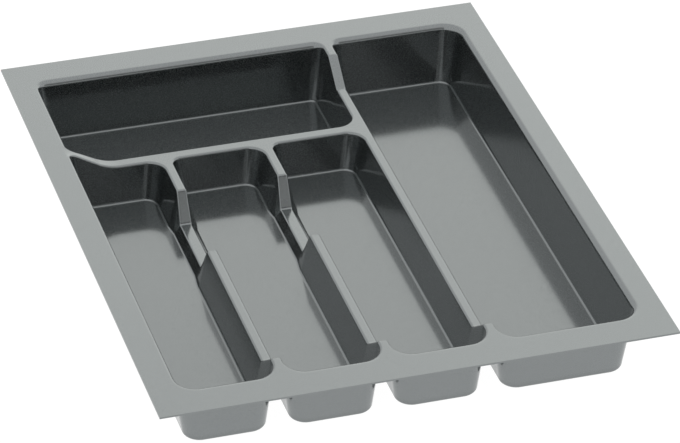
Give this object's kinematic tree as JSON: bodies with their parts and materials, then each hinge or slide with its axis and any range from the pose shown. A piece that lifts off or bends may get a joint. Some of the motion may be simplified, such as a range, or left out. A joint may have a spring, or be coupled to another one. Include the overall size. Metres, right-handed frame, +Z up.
{
  "type": "cutlery tray",
  "caption": "Drawer insert formed from one plastic sheet: flat rim, lengthwise cutlery lanes with finger dips, a crosswise pocket behind them and a long pocket beside them.",
  "frame": {"origin": "middle of the surface that the pockets' undersides rest on, halfway across and halfway from front to back", "axes": "+X to the right across the drawer, +Y from the drawer's front to its back, +Z up out of the drawer"},
  "size_m": [0.38, 0.474, 0.0495],
  "materials": {
    "tray_plastic": "silver-grey metallic-effect sheet plastic, glossy"
  },
  "bodies": {
    "root": {"tray": "tray_plastic"}
  },
  "joints": []
}
